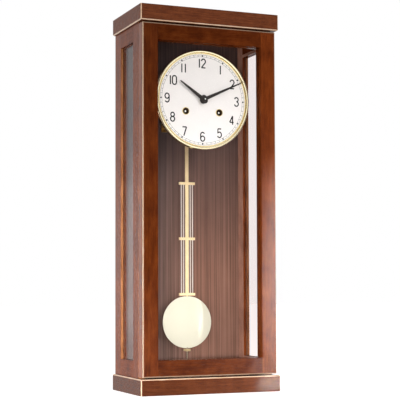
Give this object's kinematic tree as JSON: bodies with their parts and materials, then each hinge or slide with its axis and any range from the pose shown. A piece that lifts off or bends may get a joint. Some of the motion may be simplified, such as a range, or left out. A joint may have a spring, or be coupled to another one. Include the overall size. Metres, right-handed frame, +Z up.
{
  "type": "wall clock",
  "caption": "Glazed wooden wall clock with a hinged door, a white dial, two hands, a swinging grid-rod pendulum and a key-wound striking movement.",
  "frame": {"origin": "centre of the keyhole's round hole, on the wall plane, where the clock hangs on its screw", "axes": "+Z up, +Y into the wall, +X to the right as seen from the front; the dial and the door face -Y"},
  "size_m": [0.222, 0.13, 0.57],
  "materials": {
    "walnut": "satin lacquered reddish brown veneer",
    "back_panel": "satin lacquered brown veneer, vertical grain",
    "maple": "satin lacquered light edging",
    "glass": "clear float glass",
    "zinc_steel": "zinc plated",
    "magnet_plastic": "moulded brown plastic",
    "brass": "brushed and lacquered",
    "polished_brass": "polished and lacquered",
    "dial_white": "satin warm white enamel",
    "hand_black": "satin black",
    "steel": "bright drawn steel",
    "bell_metal": "nickel plated"
  },
  "bodies": {
    "case": {"crown": "walnut", "base": "walnut", "case_edging": "maple", "left_stiles": "walnut", "left_rails": "walnut", "right_stiles": "walnut", "right_rails": "walnut", "side_panes": "glass", "side_beads": "walnut", "back_board": "back_panel", "hanger_plate": "zinc_steel", "case_screws": "zinc_steel", "door_magnet": "magnet_plastic", "case_hinge_leaves": "brass", "movement_brackets": "zinc_steel", "front_plate": "brass", "back_plate": "brass", "pillars": "brass", "pillar_nuts": "zinc_steel", "dial_plate": "dial_white", "dial_bezel": "polished_brass", "winding_grommets": "polished_brass", "suspension_cock": "brass", "bell": "bell_metal", "ratchet_clicks": "zinc_steel"},
    "door": {"door_left_stile": "walnut", "door_right_stile": "walnut", "door_top_rail": "walnut", "door_bottom_rail": "walnut", "door_edging": "maple", "door_pane": "glass", "door_beads": "walnut", "strike_plate": "zinc_steel", "door_hinge_leaves": "brass", "hinge_pins": "brass"},
    "centre_arbor": {"centre_wheel": "brass", "cannon_pinion": "brass", "minute_hand": "hand_black", "hand_nut": "hand_black"},
    "hour_pipe": {"hour_wheel": "brass", "hour_hand": "hand_black"},
    "minute_wheel": {"minute_wheel": "brass"},
    "second_arbor": {"second_wheel": "brass"},
    "time_barrel": {"time_barrel": "brass"},
    "time_winding": {"time_winding_arbor": "steel"},
    "third_arbor": {"third_wheel": "brass"},
    "escape_arbor": {"escape_wheel": "brass"},
    "anchor": {"anchor": "steel"},
    "pendulum": {"suspension_spring": "steel", "pendulum_hook": "polished_brass", "pendulum_rod": "polished_brass", "steel_rods": "steel"},
    "bob": {"bob": "polished_brass"},
    "rating_nut": {"rating_nut": "polished_brass"},
    "strike_barrel": {"strike_barrel": "brass"},
    "strike_winding": {"strike_winding_arbor": "steel"},
    "strike_second_arbor": {"strike_second_wheel": "brass"},
    "pin_arbor": {"pin_wheel": "brass"},
    "fly": {"fly": "steel"},
    "hammer": {"hammer": "steel"}
  },
  "joints": [
    {"name": "door_hinge", "type": "hinge", "parent": "case", "child": "door", "pos_m": [0.1082, -0.10775, -0.215], "axis": [0, 0, 1], "range_deg": [0, 110]},
    {"name": "minute_turn", "type": "hinge", "parent": "case", "child": "centre_arbor", "pos_m": [0, -0.068, -0.0612], "axis": [0, 1, 0], "continuous": true},
    {"name": "hour_turn", "type": "hinge", "parent": "case", "child": "hour_pipe", "pos_m": [0, -0.095, -0.0612], "axis": [0, 1, 0], "continuous": true},
    {"name": "minute_wheel_turn", "type": "hinge", "parent": "case", "child": "minute_wheel", "pos_m": [0.006, -0.09, -0.05081], "axis": [0, 1, 0], "continuous": true},
    {"name": "second_turn", "type": "hinge", "parent": "case", "child": "second_arbor", "pos_m": [0.01684, -0.068, -0.05643], "axis": [0, 1, 0], "continuous": true},
    {"name": "time_barrel_turn", "type": "hinge", "parent": "case", "child": "time_barrel", "pos_m": [0.0272, -0.068, -0.0794], "axis": [0, 1, 0], "continuous": true},
    {"name": "third_turn", "type": "hinge", "parent": "case", "child": "third_arbor", "pos_m": [-0.01176, -0.068, -0.04932], "axis": [0, 1, 0], "continuous": true},
    {"name": "escape_turn", "type": "hinge", "parent": "case", "child": "escape_arbor", "pos_m": [0, -0.068, -0.0408], "axis": [0, 1, 0], "continuous": true},
    {"name": "pendulum_swing", "type": "hinge", "parent": "case", "child": "pendulum", "pos_m": [0, -0.0296, -0.0252], "axis": [0, 1, 0], "range_deg": [-3.5, 3.5]},
    {"name": "anchor_rock", "type": "hinge", "parent": "case", "child": "anchor", "pos_m": [0, -0.068, -0.0252], "axis": [0, 1, 0], "range_deg": [-3.5, 3.5]},
    {"name": "bob_slide", "type": "slide", "parent": "pendulum", "child": "bob", "axis": [0, 0, 1], "range_m": [-0.0063, 0.0007]},
    {"name": "rating_nut_turn", "type": "hinge", "parent": "bob", "child": "rating_nut", "pos_m": [0, -0.0296, -0.4426], "axis": [0, 0, 1], "range_deg": [-3245, 365]},
    {"name": "time_winding_turn", "type": "hinge", "parent": "case", "child": "time_winding", "pos_m": [0.0272, -0.068, -0.0794], "axis": [0, 1, 0], "continuous": true},
    {"name": "strike_winding_turn", "type": "hinge", "parent": "case", "child": "strike_winding", "pos_m": [-0.0272, -0.068, -0.0794], "axis": [0, 1, 0], "continuous": true},
    {"name": "pin_wheel_turn", "type": "hinge", "parent": "case", "child": "pin_arbor", "pos_m": [-0.02703, -0.068, -0.04342], "axis": [0, 1, 0], "continuous": true},
    {"name": "strike_barrel_turn", "type": "hinge", "parent": "case", "child": "strike_barrel", "pos_m": [-0.0272, -0.068, -0.0794], "axis": [0, 1, 0], "continuous": true},
    {"name": "strike_second_turn", "type": "hinge", "parent": "case", "child": "strike_second_arbor", "pos_m": [-0.03603, -0.068, -0.0558], "axis": [0, 1, 0], "continuous": true},
    {"name": "fly_turn", "type": "hinge", "parent": "case", "child": "fly", "pos_m": [-0.03297, -0.068, -0.03392], "axis": [0, 1, 0], "continuous": true},
    {"name": "hammer_lift", "type": "hinge", "parent": "case", "child": "hammer", "pos_m": [-0.01, -0.06, -0.0212], "axis": [0, 1, 0], "range_deg": [0, 14]}
  ],
  "couplings": [
    {"joint": "hour_turn", "follows": "minute_turn", "ratio": 0.083333},
    {"joint": "minute_wheel_turn", "follows": "minute_turn", "ratio": -0.33333},
    {"joint": "second_turn", "follows": "minute_turn", "ratio": -0.16667},
    {"joint": "time_barrel_turn", "follows": "minute_turn", "ratio": 0.027778},
    {"joint": "third_turn", "follows": "minute_turn", "ratio": -10},
    {"joint": "escape_turn", "follows": "minute_turn", "ratio": 93.75},
    {"joint": "anchor_rock", "follows": "pendulum_swing", "ratio": 1},
    {"joint": "rating_nut_turn", "follows": "bob_slide", "rad_per_m": 8976},
    {"joint": "strike_second_turn", "follows": "pin_wheel_turn", "ratio": -0.13333},
    {"joint": "strike_barrel_turn", "follows": "pin_wheel_turn", "ratio": 0.022222},
    {"joint": "fly_turn", "follows": "pin_wheel_turn", "ratio": -6}
  ]
}
